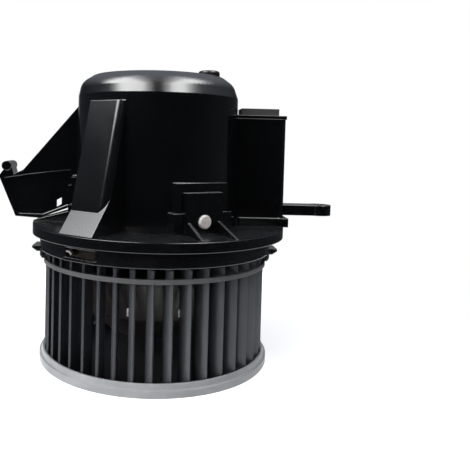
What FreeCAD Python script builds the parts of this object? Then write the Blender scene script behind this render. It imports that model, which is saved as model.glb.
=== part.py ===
import FreeCAD, Part
import math
import os

import Sketcher

# Car cabin blower motor, in millimetres.
# The origin is on the fan axis, in the plane of the flange's underside, which seats on the
# heater case. +Z points up to the closed end of the motor bell, the open fan wheel hangs
# below, -Y is the side that the photograph shows and +X points to the wiring box.

document = FreeCAD.newDocument("blower_motor")
sheet = document.addObject("Spreadsheet::Sheet", "Sizes")


# Sizes


class Size:
    """A length or an angle, with the sheet expression that it is worked out by."""

    def __init__(self, text, value):
        self.text = text
        self.value = value

    def join(self, sign, other, value):
        return Size("(%s %s %s)" % (self.text, sign, size_of(other).text), value)

    def __add__(self, other):
        return self.join("+", other, self.value + size_of(other).value)

    def __sub__(self, other):
        return self.join("-", other, self.value - size_of(other).value)

    def __mul__(self, other):
        return self.join("*", other, self.value * size_of(other).value)

    def __truediv__(self, other):
        return self.join("/", other, self.value / size_of(other).value)

    def __neg__(self):
        return size_of(0) - self

    __radd__ = __add__
    __rmul__ = __mul__

    def __rsub__(self, other):
        return size_of(other) - self


def size_of(number):
    return number if isinstance(number, Size) else Size(repr(float(number)), float(number))


def sine(angle):
    return Size("sin(%s)" % angle.text, math.sin(math.radians(angle.value)))


def cosine(angle):
    return Size("cos(%s)" % angle.text, math.cos(math.radians(angle.value)))


def root(square):
    return Size("sqrt(%s)" % square.text, math.sqrt(square.value))


SIZES = {
    # Fan wheel, heights above the bottom of its ring, drops below the blades' tops
    "wheel_drop": 81.0,
    "wheel_clearance": 11.4,
    "ring_radius": 75.0,
    "ring_bore_radius": 63.0,
    "ring_height": 7.3,
    "ring_lip_height": 4.0,
    "ring_wall": 1.6,
    "ring_step": 0.6,
    "blade_outer_radius": 71.2,
    "blade_inner_radius": 60.0,
    "blade_lean_angle": 2.6,
    "blade_camber_radius": 9.0,
    "blade_thickness": 1.3,
    "blade_count": 42,
    "hoop_drop": 7.3,
    "hoop_depth": 2.6,
    "hoop_thickness": 1.2,
    "dome_rim_drop": 7.6,
    "dome_rim_depth": 5.0,
    "dome_wall": 1.8,
    "dome_belly_radius": 50.0,
    "dome_belly_height": 35.0,
    "dome_floor_radius": 30.0,
    "dome_floor_height": 18.0,
    "hub_radius": 9.0,
    "hub_base": 12.0,
    "hub_length": 22.0,
    "hub_rib_count": 6,
    "hub_rib_thickness": 1.6,
    # How far a cut runs past the surface it leaves
    "cut_past": 1.0,
    # Housing: collar, flange and bell
    "wall": 2.5,
    "wall_bite": 0.5,
    "collar_radius": 75.7,
    "collar_depth": 9.6,
    "collar_wall": 2.2,
    "flange_radius": 82.2,
    "flange_shift": 1.8,
    "flange_thickness": 5.8,
    "bell_base_radius": 53.2,
    "bell_radius": 52.6,
    "shoulder_base": 88.0,
    "shoulder_rise": 8.5,
    "crown_rise": 5.0,
    "shoulder_middle_radius": 50.2,
    "shoulder_middle_shift": -0.6,
    "crown_radius": 43.0,
    "crown_edge_radius": 3.0,
    "middle_edge_radius": 9.0,
    # Housing: catches on the collar
    "catch_radius": 80.9,
    "catch_width": 15.0,
    "catch_thickness": 3.6,
    "catch_lead": 2.0,
    "catch_slope": 2.2,
    "left_catch_drop": 14.2,
    "right_catch_drop": 13.5,
    "skirt_angle": 46.0,
    # Housing: cooling-air duct
    "duct_direction": -124.2,
    "duct_width": 24.4,
    "duct_drop": 5.0,
    "duct_top_radius": 54.5,
    "duct_foot_height": 18.5,
    "duct_foot_radius": 70.0,
    "duct_ramp_radius": 79.6,
    "duct_ramp_edge": 0.4,
    "duct_edge_radius": 4.5,
    "duct_mouth_height": 7.5,
    "scoop_thickness": 1.8,
    # Housing: pockets for the rubber mounts
    "mount_count": 3,
    "mount_face_radius": 57.0,
    "mount_half_width": 13.0,
    "mount_top": 30.1,
    "mount_ledge_step": 2.8,
    "mount_ledge_half_width": 18.0,
    "mount_ledge_top": 35.6,
    "mount_base_half_width": 20.5,
    "mount_base_top": 18.2,
    "mount_base_step": 1.5,
    "mount_wall": 2.2,
    "gusset_skew": 11.0,
    "gusset_spread": 10.6,
    "gusset_thickness": 1.8,
    "gusset_top": 14.0,
    "gusset_tip_height": 0.4,
    "gusset_margin": 2.4,
    "pin_height": 13.0,
    "pin_radius": 2.2,
    "pin_head_radius": 4.2,
    "pin_head_height": 1.7,
    "pin_head_edge": 1.2,
    "pin_reach": 40.0,
    "rubber_radius": 6.0,
    "rubber_waist": 0.8,
    # Housing: left bracket
    "web_front": -5.6,
    "web_depth": 13.0,
    "web_thickness": 3.0,
    "web_drop": 2.0,
    "web_shoulder_x": 90.2,
    "web_shoulder_z": 38.7,
    "web_tip_x": 106.8,
    "web_tip_z": 34.0,
    "web_foot_x": 95.3,
    "web_foot_z": 6.9,
    "web_rim": 1.8,
    "web_recess": 1.0,
    "web_neck": 8.0,
    "web_hole_gap": 7.4,
    "web_hole_width": 3.4,
    "web_hole_base": 13.8,
    "web_hole_top": 20.0,
    "saddle_drop": 3.4,
    "knob_x": 101.4,
    "knob_z": 41.0,
    "knob_radius": 3.2,
    "knob_length": 17.0,
    # Housing: wiring box and arm
    "box_right": 83.4,
    "box_half_depth": 13.0,
    "box_drop": 10.0,
    "box_corner_radius": 4.0,
    "box_wall": 2.2,
    "box_lip": 0.8,
    "box_lip_height": 2.2,
    "box_foot_x": 86.0,
    "box_foot_height": 11.5,
    "box_foot_step": 1.5,
    "box_left_inside": 53.7,
    "arm_bottom": 12.8,
    "arm_thickness": 6.8,
    "arm_half_width": 6.5,
    "eye_x": 109.5,
    "eye_radius": 8.0,
    "screw_hole_radius": 3.2,
    # Plug socket
    "socket_x": 67.0,
    "socket_half_length": 12.2,
    "socket_half_width": 8.6,
    "socket_wall": 1.7,
    "socket_depth": 18.0,
    "socket_well": 12.0,
    "socket_rise": 4.6,
    "socket_lip": 1.0,
    # Rubber bung in the crown
    "bung_x": 31.8,
    "bung_y": -16.0,
    "bung_hole_radius": 4.0,
    "bung_radius": 6.8,
    "bung_thickness": 3.6,
    "bung_edge": 1.6,
    "bung_barb": 1.0,
    "bung_barb_length": 1.8,
    "bung_barb_gap": 0.1,
    # Motor, heights above the bottom of its can
    "can_drop": 4.0,
    "can_radius": 34.0,
    "can_wall": 2.0,
    "can_height": 72.0,
    "can_window_count": 4,
    "can_window_inner": 14.0,
    "can_window_outer": 24.0,
    "can_window_width": 9.0,
    "bearing_radius": 8.0,
    "bearing_length": 8.0,
    "bearing_boss_wall": 2.5,
    "bearing_boss_floor": 1.5,
    "bearing_chamfer": 0.8,
    "shaft_radius": 4.0,
    "shaft_chamfer": 0.6,
    "shaft_gap": 1.0,
    "running_clearance": 0.03,
    "seat_clearance": 0.02,
    "slip_clearance": 0.2,
    "cradle_wall": 4.0,
    "cradle_lip": 2.2,
    "cradle_lip_radius": 27.0,
    "cradle_top": 24.0,
    "lug_radius": 47.5,
    "lug_half_width": 7.0,
    "lug_half_height": 7.0,
    "cradle_screw_circle": 30.0,
    "cradle_screw_radius": 1.5,
    "cradle_screw_head": 3.0,
    "cradle_screw_head_height": 1.6,
    "screw_slot": 0.8,
    "magnet_inner_radius": 27.0,
    "magnet_base": 12.0,
    "magnet_length": 42.0,
    "magnet_angle": 125.0,
    "core_radius": 26.3,
    "core_base": 16.0,
    "core_length": 34.0,
    "slot_count": 12,
    "slot_width": 4.6,
    "slot_mouth": 1.8,
    "slot_inner": 14.0,
    "slot_outer": 22.5,
    "slot_shoulder": 0.8,
    "slot_taper": 0.6,
    "coil_head": 6.5,
    "coil_inner": 9.0,
    "coil_outer": 24.0,
    "coil_bevel": 1.6,
    "coil_gap": 0.3,
    "commutator_radius": 11.0,
    "commutator_base": 58.2,
    "commutator_length": 9.2,
    "commutator_slit": 0.5,
    "commutator_slit_depth": 1.5,
    "card_spigot": 4.0,
    "card_flange": 3.0,
    "card_boss_height": 9.0,
    "card_vent_width": 6.0,
    "card_vent_count": 2,
    "brush_clearance": 0.15,
    "brush_half_width": 2.6,
    "brush_height": 7.8,
    "brush_length": 11.0,
    "brush_box_wall": 0.5,
    "brush_box_start": 13.5,
    "brush_box_length": 15.0,
    "spring_strip": 0.4,
    "spring_folds": 3,
    "bar_thickness": 0.8,
    "bar_width": 4.0,
    "bar_drop_x": 41.0,
    "bar_gap": 3.5,
    "lead_way_margin": 3.0,
    "pin_pitch": 8.0,
    "pin_blade_width": 3.0,
    "pin_blade_rise": 1.0,
    "clip_radius": 8.0,
    "clip_thickness": 0.9,
    "clip_gap": 0.4,
    "clip_collar": 1.6,
    "clip_bend": 1.0,
    "clip_slit": 1.0,
    "clip_slit_end": 2.0,
    "clip_slit_count": 6,
}

for row, (name, number) in enumerate(SIZES.items(), start=1):
    sheet.set("A%d" % row, name)
    sheet.set("B%d" % row, repr(number))
    sheet.setAlias("B%d" % row, name)
document.recompute()


class Names:
    """The sheet's sizes under their own names."""


d = Names()
for name in SIZES:
    setattr(d, name, Size("Sizes." + name, float(sheet.get(name))))


# Ways of working


def bind(target, path, size):
    target.setExpression(path, size_of(size).text)


def new_body(label, x=0, y=0, z=0, turn=0):
    """A piece of its own, set down at x, y, z and turned about the fan axis."""
    body = document.addObject("PartDesign::Body", label)
    body.Label = label
    for axis, size in (("x", x), ("y", y), ("z", z)):
        if isinstance(size, Size):
            bind(body, ".Placement.Base." + axis, size)
    if turn:
        body.Placement.Rotation = FreeCAD.Rotation(FreeCAD.Vector(0, 0, 1), turn)
    return body


def origin_part(body, role):
    return [part for part in body.Origin.OriginFeatures if part.Role == role][0]


def sketch(body, name, plane="XZ_Plane", lift=0, turn=None):
    """A sketch on one of the piece's own planes, turned about Z and lifted along its normal."""
    drawing = body.newObject("Sketcher::SketchObject", name)
    drawing.AttachmentSupport = [(origin_part(body, plane), "")]
    drawing.MapMode = "FlatFace"
    if turn is None:
        bind(drawing, ".AttachmentOffset.Base.z", lift)
        return drawing
    up = FreeCAD.Vector(0, 1, 0)
    drawing.AttachmentOffset = FreeCAD.Placement(FreeCAD.Vector(), FreeCAD.Rotation(up, turn.value))
    bind(drawing, ".AttachmentOffset.Rotation.Angle", turn)
    bind(drawing, ".AttachmentOffset.Base.x", size_of(lift) * sine(turn))
    bind(drawing, ".AttachmentOffset.Base.z", size_of(lift) * cosine(turn))
    return drawing


def pin_point(drawing, line, end, x, y):
    """Holds one end of a line at x, y."""
    for kind, size in (("DistanceX", size_of(x)), ("DistanceY", size_of(y))):
        number = drawing.addConstraint(Sketcher.Constraint(kind, -1, 1, line, end, size.value))
        bind(drawing, "Constraints[%d]" % number, size)


def outline(drawing, corners):
    """A closed outline of straight lines through the corners."""
    spots = [FreeCAD.Vector(size_of(x).value, size_of(y).value, 0) for x, y in corners]
    lines = []
    for spot, following in zip(spots, spots[1:] + spots[:1]):
        lines.append(drawing.addGeometry(Part.LineSegment(spot, following), False))
    for line, following in zip(lines, lines[1:] + lines[:1]):
        drawing.addConstraint(Sketcher.Constraint("Coincident", line, 2, following, 1))
    for line, (x, y) in zip(lines, corners):
        pin_point(drawing, line, 1, x, y)


def rectangle(drawing, left, right, low, high):
    outline(drawing, [(left, low), (right, low), (right, high), (left, high)])


def circle(drawing, radius, x=0, y=0):
    radius = size_of(radius)
    centre = FreeCAD.Vector(size_of(x).value, size_of(y).value, 0)
    ring = drawing.addGeometry(Part.Circle(centre, FreeCAD.Vector(0, 0, 1), radius.value), False)
    pin_point(drawing, ring, 3, x, y)
    number = drawing.addConstraint(Sketcher.Constraint("Radius", ring, radius.value))
    bind(drawing, "Constraints[%d]" % number, radius)


def feature(body, kind, name, drawing):
    made = body.newObject("PartDesign::" + kind, name)
    made.Profile = drawing
    return made


def pad(body, name, drawing, length, side="One side", back=False):
    made = feature(body, "Pad", name, drawing)
    made.SideType = side
    made.Reversed = back
    bind(made, "Length", length)
    return made


def pocket(body, name, drawing, length, side="One side", back=False):
    made = feature(body, "Pocket", name, drawing)
    made.SideType = side
    made.Reversed = back
    bind(made, "Length", length)
    return made


def turned(body, name, drawing, axis="Z_Axis", cut=False, angle=360):
    made = feature(body, "Groove" if cut else "Revolution", name, drawing)
    made.ReferenceAxis = (origin_part(body, axis), [""])
    bind(made, "Angle", angle)
    return made


def shoulder_rings(body, name, levels, cut=False):
    """A stack of cones through circles, each given by its height, radius and shift in x."""
    drawings = []
    for height, radius, shift in levels:
        drawing = sketch(body, "%s_ring_%d" % (name, len(drawings)), "XY_Plane", height)
        circle(drawing, radius, shift, 0)
        drawings.append(drawing)
    made = feature(body, "SubtractiveLoft" if cut else "AdditiveLoft", name, drawings[0])
    made.Sections = drawings[1:]
    made.Ruled = True
    return made


def around(body, name, originals, count, axis="Z_Axis"):
    """The originals repeated evenly about an axis."""
    made = body.newObject("PartDesign::PolarPattern", name)
    made.Originals = originals
    made.Axis = (origin_part(body, axis), [""])
    made.Angle = 360
    bind(made, "Occurrences", count)
    body.Tip = made
    return made


def rounded(body, name, radius, chosen, kind="Fillet"):
    """Rounds, or chamfers, the edges of the piece that the test chosen accepts."""
    document.recompute()
    base = body.Tip
    edges = ["Edge%d" % (i + 1) for i, edge in enumerate(base.Shape.Edges) if chosen(edge)]
    made = body.newObject("PartDesign::" + kind, name)
    made.Base = (base, edges)
    bind(made, "Radius" if kind == "Fillet" else "Size", radius)
    return made


def upright_at(x, y, reach=0.5):
    """Accepts an upright straight edge at x, y in the piece's own frame."""

    def test(edge):
        box = edge.BoundBox
        if box.XLength > 0.01 or box.YLength > 0.01:
            return False
        return abs(box.XMin - x.value) < reach and abs(box.YMin - y.value) < reach

    return test


def ring_at(height, radius):
    """Accepts the whole circle of a radius that lies flat at a height."""

    def test(edge):
        box = edge.BoundBox
        if box.ZLength > 0.01 or abs(box.ZMin - height.value) > 0.01:
            return False
        return abs(edge.Length - math.tau * radius.value) < 1

    return test


def disc_at(x, radius):
    """Accepts the whole circle of a radius that stands upright across the X axis at x."""

    def test(edge):
        box = edge.BoundBox
        if box.XLength > 0.01 or abs(box.XMin - x.value) > 0.01:
            return False
        return abs(edge.Length - math.tau * radius.value) < 1

    return test


def on_duct_side(offset):
    """Accepts the long outer edge of the duct's side at an offset from its middle."""
    turn = math.radians(d.duct_direction.value)

    def test(edge):
        for vertex in edge.Vertexes:
            spot = vertex.Point
            across = spot.y * math.cos(turn) - spot.x * math.sin(turn)
            along = spot.x * math.cos(turn) + spot.y * math.sin(turn)
            if abs(across - offset.value) > 0.05 or spot.z < d.duct_foot_height.value - 0.1:
                return False
            if along < d.duct_top_radius.value - 0.1:
                return False
        return len(edge.Vertexes) == 2 and edge.Length > d.mount_top.value

    return test


# Housing: one black moulding in the real blower, made here as four pieces that meet at its
# creases: the bell over the motor, the flange with its collar, the wiring box and the bracket


def inner_bell():
    return d.bell_base_radius - d.wall


def flange_top():
    """Where the pieces that stand on the flange begin."""
    return d.flange_thickness + d.seat_clearance


def flange_left():
    """How far the flange reaches on the bracket's side."""
    return d.flange_radius - d.flange_shift


def shoulder_middle():
    return d.shoulder_base + d.shoulder_rise


def bell_top():
    return shoulder_middle() + d.crown_rise


def duct_top():
    return d.shoulder_base - d.duct_drop


def web_top():
    return d.shoulder_base - d.web_drop


def box_top():
    return d.shoulder_base - d.box_drop


def socket_base():
    return box_top() - d.socket_depth


def socket_floor():
    return box_top() - d.socket_well


def bar_low():
    """Height of the bus bars where they pass into the wiring box."""
    return socket_base() - d.bar_gap


def cut_to_bell(body):
    """Takes away what would lie inside the bell's outer side."""
    section = sketch(body, "bell_side_section")
    gap = d.seat_clearance
    outline(section, [
        (0, 0),
        (d.bell_base_radius + gap, d.flange_thickness),
        (d.bell_radius + gap, d.shoulder_base),
        (0, d.shoulder_base),
    ])
    return turned(body, "bell_side", section, cut=True)


def air_way(body):
    """The cooling air's way from the collar's mouth up into the bell."""
    section = sketch(body, "air_way_section", turn=d.duct_direction)
    start = inner_bell() - d.wall * 2
    outline(section, [
        (start, -d.cut_past),
        (d.collar_radius - d.collar_wall, -d.cut_past),
        (d.collar_radius - d.collar_wall, 0),
        (d.duct_foot_radius - d.wall, d.duct_foot_height - d.wall),
        (d.duct_top_radius - d.wall, duct_top() - d.wall * 2),
        (start, duct_top() - d.wall * 2),
    ])
    return pocket(body, "air_way", section, d.duct_width - d.wall * 2, "Symmetric")


def bell():
    body = new_body("bell")
    shell = sketch(body, "shell_section")
    outline(shell, [
        (inner_bell(), flange_top()),
        (d.bell_base_radius, flange_top()),
        (d.bell_radius, d.shoulder_base),
        (d.bell_radius - d.wall, d.shoulder_base),
    ])
    turned(body, "shell", shell)

    # The closed end, whose shoulder is a little fuller on the bracket's side
    shoulder_rings(body, "shoulder", [
        (d.shoulder_base, d.bell_radius, 0),
        (shoulder_middle(), d.shoulder_middle_radius, d.shoulder_middle_shift),
        (bell_top(), d.crown_radius, 0),
    ])
    rounded(body, "crown_edge", d.crown_edge_radius, ring_at(bell_top(), d.crown_radius))
    middle = ring_at(shoulder_middle(), d.shoulder_middle_radius)
    rounded(body, "middle_edge", d.middle_edge_radius, middle)
    shoulder_rings(body, "shoulder_hollow", [
        (d.shoulder_base, d.bell_radius - d.wall, 0),
        (shoulder_middle() - d.wall / 2, d.shoulder_middle_radius - d.wall, d.shoulder_middle_shift),
        (bell_top() - d.wall, d.crown_radius - d.wall, 0),
    ], cut=True)

    # Cooling-air duct on the front left, with a ramp down to the flange's rim
    fairing = sketch(body, "duct_section", turn=d.duct_direction)
    outline(fairing, [
        (inner_bell(), flange_top()),
        (d.duct_ramp_radius, flange_top()),
        (d.duct_ramp_radius, flange_top() + d.duct_ramp_edge),
        (d.duct_foot_radius, d.duct_foot_height),
        (d.duct_top_radius, duct_top()),
        (inner_bell() - d.wall, duct_top()),
        (inner_bell() - d.wall, d.duct_foot_height),
    ])
    pad(body, "duct", fairing, d.duct_width, "Symmetric")
    rounded(body, "duct_soft_edge", d.duct_edge_radius, on_duct_side(d.duct_width / 2))

    # Pockets for the three rubber mounts, made on the -X side and repeated about the axis
    ledge_face = d.mount_face_radius - d.mount_ledge_step
    base_face = d.mount_face_radius - d.mount_base_step
    mount_parts = []
    blocks = [
        ("mount_face", d.mount_face_radius, d.mount_half_width, d.mount_top),
        ("mount_ledge", ledge_face, d.mount_ledge_half_width, d.mount_ledge_top),
        ("mount_base", base_face, d.mount_base_half_width, d.mount_base_top),
    ]
    for name, face, half_width, top in blocks:
        plate = sketch(body, name + "_outline", "YZ_Plane", -face)
        rectangle(plate, -half_width, half_width, flange_top(), top)
        # the block ends inside the bell's wall, also at its corners
        reach = face - root(inner_bell() * inner_bell() - half_width * half_width)
        mount_parts.append(pad(body, name, plate, reach - d.wall_bite))
    gusset_turn = 180 - d.gusset_skew
    for side, spread in (("near", d.gusset_spread), ("far", -d.gusset_spread)):
        lift = spread * cosine(d.gusset_skew) - d.mount_face_radius * sine(d.gusset_skew)
        gusset = sketch(body, "gusset_" + side + "_section", lift=lift, turn=gusset_turn)
        start = base_face * cosine(d.gusset_skew) + spread * sine(d.gusset_skew) - d.wall
        tip = flange_left() - d.gusset_margin
        outline(gusset, [
            (start, flange_top()),
            (tip, flange_top()),
            (tip, flange_top() + d.gusset_tip_height),
            (start, d.gusset_top),
        ])
        mount_parts.append(pad(body, "gusset_" + side, gusset, d.gusset_thickness, "Symmetric"))
    around(body, "mounts", mount_parts, d.mount_count)

    # Everything that is hollow
    bore = sketch(body, "hollow_section")
    outline(bore, [
        (0, 0),
        (inner_bell(), 0),
        (d.bell_radius - d.wall, d.shoulder_base),
        (0, d.shoulder_base),
    ])
    turned(body, "hollow", bore, cut=True)
    air_way(body)
    mount_hollow = sketch(body, "mount_hollow_outline", "YZ_Plane", -(d.mount_face_radius - d.mount_wall))
    pocket_half = d.mount_half_width - d.mount_wall
    rectangle(mount_hollow, -pocket_half, pocket_half, 0, d.mount_top - d.mount_wall)
    hollow_depth = d.mount_face_radius - d.lug_radius + d.cut_past
    hollow_cut = pocket(body, "mount_hollow", mount_hollow, hollow_depth, back=True)
    hole = sketch(body, "pin_hole_outline", "YZ_Plane", -(d.mount_face_radius + d.cut_past))
    circle(hole, d.pin_radius + d.slip_clearance, 0, d.pin_height)
    hole_cut = pocket(body, "pin_hole", hole, d.mount_wall + d.cut_past * 2, back=True)
    around(body, "mount_hollows", [hollow_cut, hole_cut], d.mount_count)
    lead_way(body)
    bung_hole = sketch(body, "bung_hole_outline", "XY_Plane", bell_top() + d.cut_past)
    circle(bung_hole, d.bung_hole_radius, d.bung_x, d.bung_y)
    pocket(body, "bung_hole", bung_hole, d.wall + d.cut_past * 3)
    return body


def lead_way(body):
    """The slot through the bell's side and the box's back for the two bus bars."""
    slot = sketch(body, "lead_way_outline", "YZ_Plane", inner_bell() - d.wall)
    half = d.pin_pitch / 2 + d.bar_width
    rectangle(slot, -half, half, bar_low() - d.lead_way_margin, bar_low() + d.lead_way_margin)
    reach = d.box_left_inside - inner_bell() + d.wall + d.cut_past
    return pocket(body, "lead_way", slot, reach, back=True)


def flange():
    """Flange and collar that close the hole in the heater case, with the bayonet's catches."""
    body = new_body("flange")
    collar_inside = d.collar_radius - d.collar_wall
    plate = sketch(body, "flange_outline", "XY_Plane")
    circle(plate, d.flange_radius, d.flange_shift, 0)
    circle(plate, inner_bell())
    pad(body, "flange_plate", plate, d.flange_thickness)
    section = sketch(body, "collar_section")
    rectangle(section, collar_inside, d.collar_radius, -d.collar_depth, d.flange_thickness / 2)
    turned(body, "collar", section)

    # The catches hang from two longer skirts
    catches = (("left", -1, 180, d.left_catch_drop), ("right", 1, 0, d.right_catch_drop))
    for side, sign, direction, drop in catches:
        skirt = sketch(body, side + "_skirt_section", turn=direction - d.skirt_angle / 2)
        rectangle(skirt, collar_inside, d.collar_radius, -drop, -d.wall)
        turned(body, side + "_skirt", skirt, angle=d.skirt_angle)
        catch = sketch(body, side + "_catch_section")
        root_x = (d.collar_radius - d.collar_wall / 2) * sign
        outline(catch, [
            (root_x, -drop),
            ((d.collar_radius + d.catch_lead) * sign, -drop),
            (d.catch_radius * sign, -(drop - d.catch_slope)),
            (d.catch_radius * sign, -(drop - d.catch_thickness)),
            (root_x, -(drop - d.catch_thickness)),
        ])
        pad(body, side + "_catch", catch, d.catch_width, "Symmetric")

    # Cooling air enters through a mouth in the collar and is turned up by a scoop
    air_way(body)
    mouth = sketch(body, "air_mouth_section", turn=d.duct_direction)
    rectangle(mouth, collar_inside - d.cut_past, d.collar_radius + d.cut_past,
              -(d.collar_depth + d.cut_past), -(d.collar_depth - d.duct_mouth_height))
    pocket(body, "air_mouth", mouth, d.duct_width - d.wall, "Symmetric")
    scoop = sketch(body, "scoop_section", turn=d.duct_direction)
    scoop_end = inner_bell() + d.wall
    outline(scoop, [
        (collar_inside, -d.collar_depth),
        (d.collar_radius, -d.collar_depth),
        (d.collar_radius, -(d.collar_depth - d.scoop_thickness)),
        (scoop_end + d.wall, d.seat_clearance),
        (scoop_end, d.seat_clearance),
        (scoop_end, -d.scoop_thickness),
    ])
    pad(body, "scoop", scoop, d.duct_width, "Symmetric")
    return body


def wiring_box():
    """Box on the bell's right side with a foot on the flange and the fixing arm."""
    body = new_body("wiring_box")
    start = d.bell_radius - d.wall
    box = sketch(body, "box_outline", "XY_Plane", flange_top())
    rectangle(box, start, d.box_right, -d.box_half_depth, d.box_half_depth)
    pad(body, "box", box, box_top() - flange_top())
    for name, y in (("front", -d.box_half_depth), ("rear", d.box_half_depth)):
        rounded(body, "box_corner_" + name, d.box_corner_radius, upright_at(d.box_right, y))
    lip = sketch(body, "box_lip_outline", "XY_Plane", box_top() - d.box_lip_height)
    lip_right = d.box_right + d.box_lip
    lip_half = d.box_half_depth + d.box_lip
    rectangle(lip, start, lip_right, -lip_half, lip_half)
    pad(body, "box_lip", lip, d.box_lip_height)
    for name, y in (("front", -lip_half), ("rear", lip_half)):
        corner = upright_at(lip_right, y)
        rounded(body, "lip_corner_" + name, d.box_corner_radius + d.box_lip, corner)
    foot = sketch(body, "box_foot_outline", "XY_Plane", flange_top())
    foot_half = d.box_half_depth + d.box_foot_step
    rectangle(foot, d.box_left_inside, d.box_foot_x, -foot_half, foot_half)
    pad(body, "box_foot", foot, d.box_foot_height - flange_top())
    arm = sketch(body, "arm_outline", "XY_Plane", d.arm_bottom)
    rectangle(arm, d.box_right - d.box_wall, d.eye_x, -d.arm_half_width, d.arm_half_width)
    pad(body, "arm", arm, d.arm_thickness)
    eye = sketch(body, "eye_outline", "XY_Plane", d.arm_bottom)
    circle(eye, d.eye_radius, d.eye_x, 0)
    pad(body, "eye", eye, d.arm_thickness)

    cut_to_bell(body)
    inside = sketch(body, "box_inside_outline", lift=-(d.box_half_depth + d.box_foot_step + d.cut_past))
    low = flange_top() + d.box_wall
    rectangle(inside, d.box_left_inside, d.box_right - d.box_wall, low, box_top() - d.box_wall)
    depth = d.box_half_depth * 2 + d.box_foot_step - d.box_wall + d.cut_past
    pocket(body, "box_inside", inside, depth, back=True)
    opening = sketch(body, "socket_opening_outline", "XY_Plane", box_top() + d.cut_past)
    half_length = d.socket_half_length + d.slip_clearance
    half_width = d.socket_half_width + d.slip_clearance
    rectangle(opening, d.socket_x - half_length, d.socket_x + half_length, -half_width, half_width)
    pocket(body, "socket_opening", opening, d.box_wall + d.cut_past * 2)
    lead_way(body)
    eye_hole = sketch(body, "eye_hole_outline", "XY_Plane", d.arm_bottom + d.arm_thickness + d.cut_past)
    circle(eye_hole, d.screw_hole_radius, d.eye_x, 0)
    pocket(body, "eye_hole", eye_hole, d.arm_thickness + d.cut_past * 2)
    return body


def side_bracket():
    """Upright web on the bell's left with a rim all round and a locating knob at its tip."""
    body = new_body("side_bracket")
    rim = d.web_rim
    web = sketch(body, "web_outline", lift=d.web_front)
    mount_x = d.mount_face_radius + d.seat_clearance
    neck = d.knob_z - d.knob_radius / 2
    outline(web, [
        (-inner_bell(), web_top()),
        (-d.web_shoulder_x, d.web_shoulder_z),
        (-(d.web_shoulder_x + d.saddle_drop * 2), d.web_shoulder_z - d.saddle_drop),
        (-(d.knob_x - d.knob_radius), neck),
        (-(d.knob_x + d.knob_radius / 2), neck),
        (-d.web_tip_x, d.web_tip_z),
        (-d.web_foot_x, d.web_foot_z),
        (-(flange_left() - rim), flange_top()),
        (-(flange_left() - d.gusset_margin), flange_top() + d.gusset_tip_height + d.slip_clearance),
        (-mount_x, d.gusset_top + d.slip_clearance),
        (-mount_x, d.mount_ledge_top + d.seat_clearance),
        (-inner_bell(), d.mount_ledge_top + d.seat_clearance),
    ])
    pad(body, "web", web, d.web_depth, back=True)
    knob = sketch(body, "knob_outline", lift=d.web_front + rim)
    circle(knob, d.knob_radius, -d.knob_x, d.knob_z)
    pad(body, "knob", knob, d.knob_length, back=True)

    cut_to_bell(body)
    web_back = sketch(body, "web_back_outline", lift=-(d.web_depth - d.web_front + d.cut_past))
    outline(web_back, [
        (-(d.bell_base_radius + d.web_neck), web_top() - d.web_neck * 2),
        (-(d.web_shoulder_x - rim / 2), d.web_shoulder_z - rim * 3),
        (-(d.web_tip_x - rim * 1.8), d.web_tip_z - rim),
        (-(d.web_foot_x - rim), d.web_foot_z + rim),
        (-(flange_left() - rim * 2), d.flange_thickness + rim * 1.5),
        (-(d.bell_base_radius + d.web_neck), d.gusset_top + rim),
    ])
    pocket(body, "web_back", web_back, d.web_depth - d.web_thickness + d.cut_past, back=True)
    web_face = sketch(body, "web_face_outline", lift=d.web_front + d.cut_past)
    outline(web_face, [
        (-(d.bell_base_radius + d.web_neck * 0.7), d.mount_ledge_top + rim * 2),
        (-(d.web_shoulder_x - rim * 2), d.web_shoulder_z - rim * 1.7),
        (-(d.web_tip_x - rim * 2), d.web_tip_z - rim * 0.7),
        (-(d.web_foot_x - rim * 1.2), d.web_foot_z + rim),
        (-(flange_left() - rim * 2), d.flange_thickness + rim * 1.5),
        (-(d.bell_base_radius + d.web_neck * 0.7), d.gusset_top + rim),
    ])
    pocket(body, "web_face", web_face, d.web_recess + d.cut_past)
    light = sketch(body, "web_hole_outline", lift=d.web_front + d.cut_past)
    near = d.mount_face_radius + d.web_hole_gap
    far = near + d.web_hole_width
    outline(light, [
        (-far, d.web_hole_base),
        (-near, d.web_hole_base + d.web_rim),
        (-near, d.web_hole_top),
        (-far, d.web_hole_top - d.web_rim),
    ])
    pocket(body, "web_hole", light, d.web_depth + d.cut_past * 2)
    return body


# Motor cradle: a cup ring round the can with three lugs for the rubber mounts


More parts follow.
